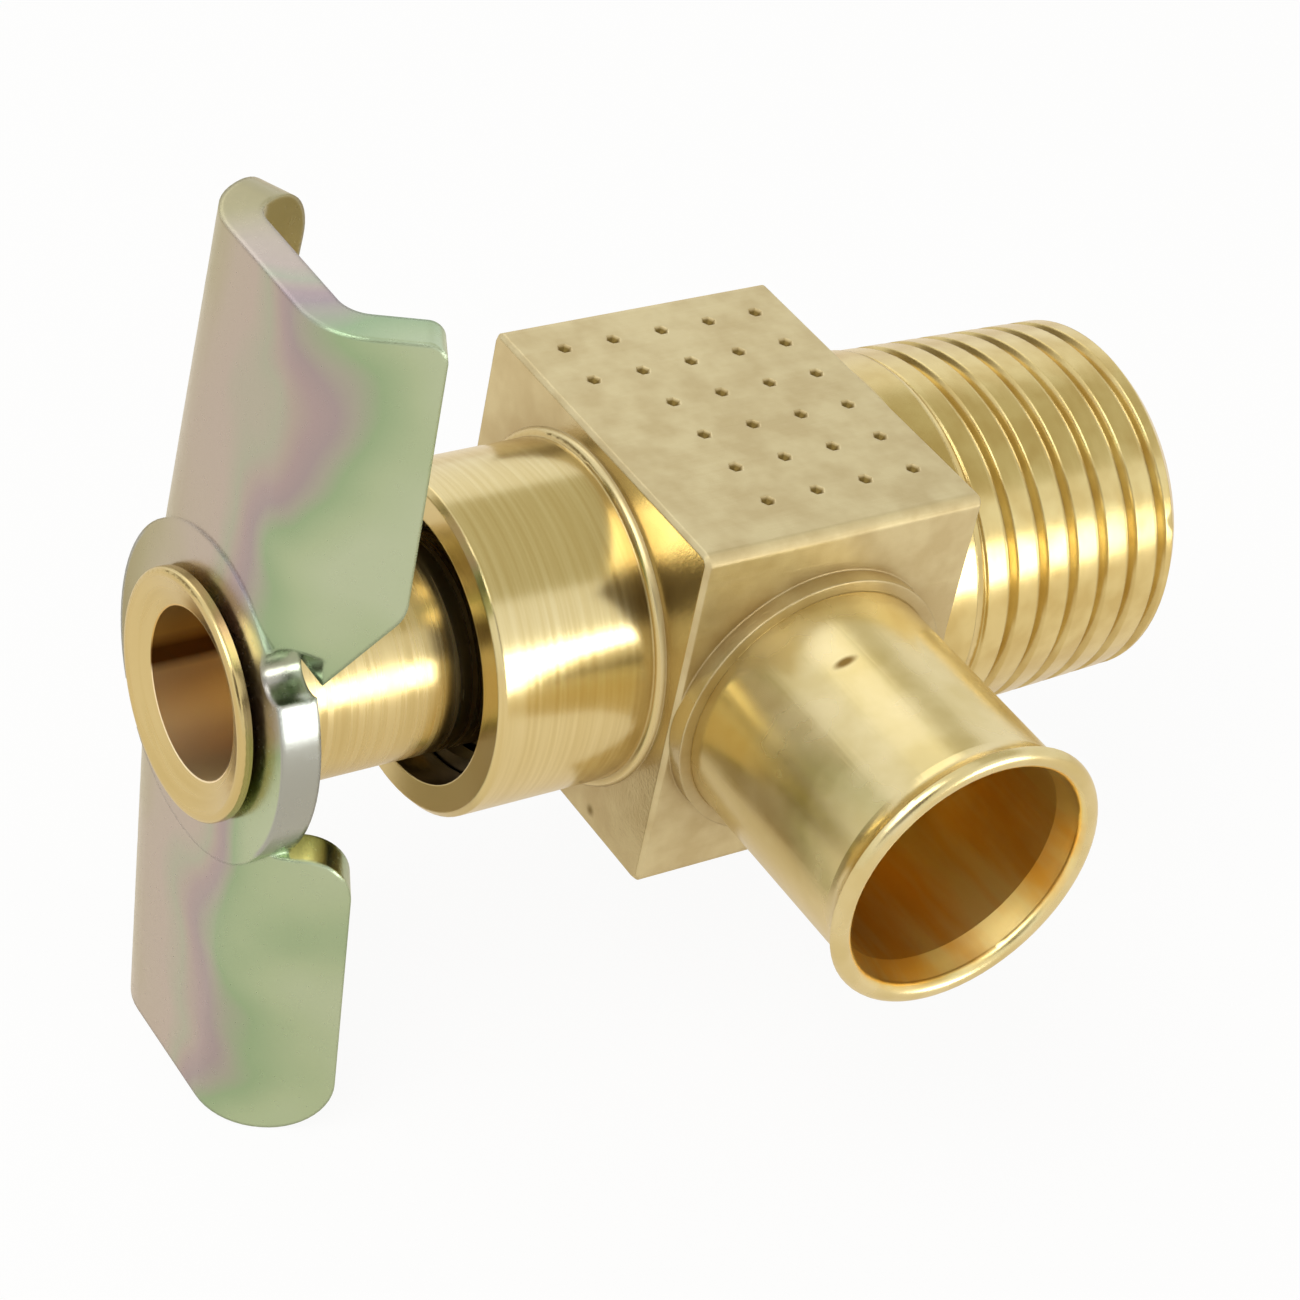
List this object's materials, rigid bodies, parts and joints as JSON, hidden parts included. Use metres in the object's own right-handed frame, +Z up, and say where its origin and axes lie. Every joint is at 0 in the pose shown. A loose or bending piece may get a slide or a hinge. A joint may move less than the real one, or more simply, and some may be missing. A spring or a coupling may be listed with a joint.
{
  "type": "petcock valve",
  "caption": "Brass angle shut-off cock: square bar body, male taper pipe thread, side hose tube with a rolled lip, and a screw-down stem turned by a stamped butterfly handle.",
  "frame": {"origin": "on the pipe axis, at the block face that the pipe thread stands on", "axes": "+X along the pipe thread, away from the handle; the hose leaves along -Y; +Z up, out of the pitted face"},
  "size_m": [0.0378, 0.0246, 0.0332],
  "materials": {
    "body_brass": "turned and milled brass bar, dull on the bar faces",
    "tube_brass": "bright drawn brass tube",
    "spring_steel": "oiled spring steel",
    "stem_brass": "turned brass",
    "seal_rubber": "black nitrile rubber",
    "handle_zinc": "yellow iridescent zinc plate on stamped steel",
    "holder_brass": "turned brass",
    "washer_rubber": "black nitrile rubber"
  },
  "bodies": {
    "valve": {"valve_body": "body_brass", "hose_tube": "tube_brass", "stop_ring": "spring_steel"},
    "swivel_disc": {"disc_holder": "holder_brass", "seat_washer": "washer_rubber"},
    "stem_handle": {"stem": "stem_brass", "stem_seal": "seal_rubber", "handle": "handle_zinc"}
  },
  "joints": [
    {"name": "stem_lift", "type": "slide", "parent": "valve", "child": "swivel_disc", "axis": [1, 0, 0], "range_m": [0, 0.002]},
    {"name": "handle_turn", "type": "hinge", "parent": "swivel_disc", "child": "stem_handle", "pos_m": [-0.0225, 0, 0], "axis": [1, 0, 0], "range_deg": [0, 720]}
  ],
  "couplings": [
    {"joint": "handle_turn", "follows": "stem_lift", "rad_per_m": 6283.1}
  ]
}
